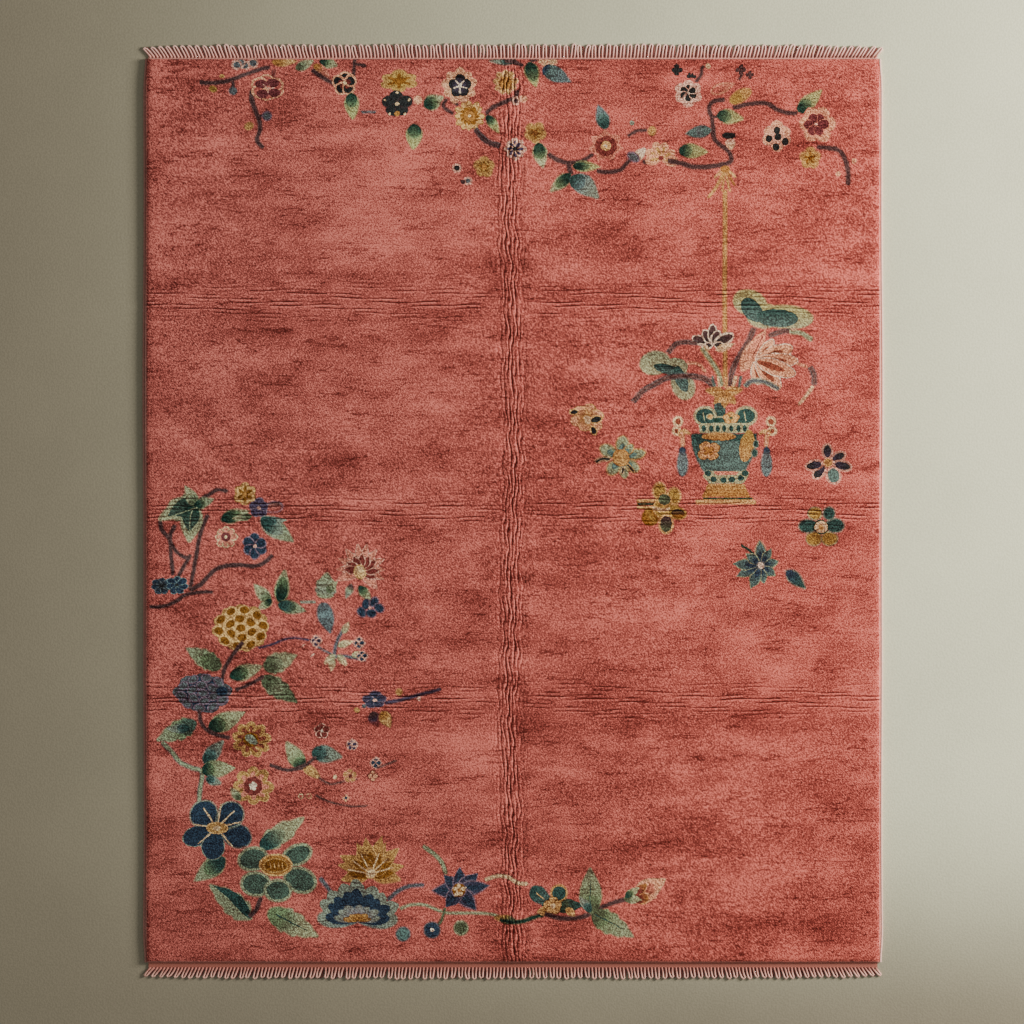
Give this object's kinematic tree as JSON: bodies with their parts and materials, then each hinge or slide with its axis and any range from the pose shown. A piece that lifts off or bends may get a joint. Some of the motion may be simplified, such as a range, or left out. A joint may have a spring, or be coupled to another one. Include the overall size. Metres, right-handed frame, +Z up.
{
  "type": "chinese art deco rug",
  "caption": "Hand-knotted wool rug lying flat, with a floral open field, overcast side cords, woven end webs and looped warp fringe.",
  "frame": {"origin": "on the floor under the middle of the rug", "axes": "+Z up out of the pile; +Y along the warp, the rug's length, to the end with the narrow web; +X across the rug to the right, seen from above with +Y away"},
  "size_m": [2.4535, 3.0896, 0.0198],
  "materials": {
    "wool_pile": "cut wool pile, rose red, matt with a soft sheen",
    "cord_wool": "overcast wool yarn, pale rose",
    "cotton_warp": "plied cotton yarn, tinted pink"
  },
  "bodies": {
    "root": {"rug_pile": "wool_pile", "side_cord_left": "cord_wool", "side_cord_right": "cord_wool", "fringe_top": "cotton_warp", "fringe_bottom": "cotton_warp"}
  },
  "joints": []
}
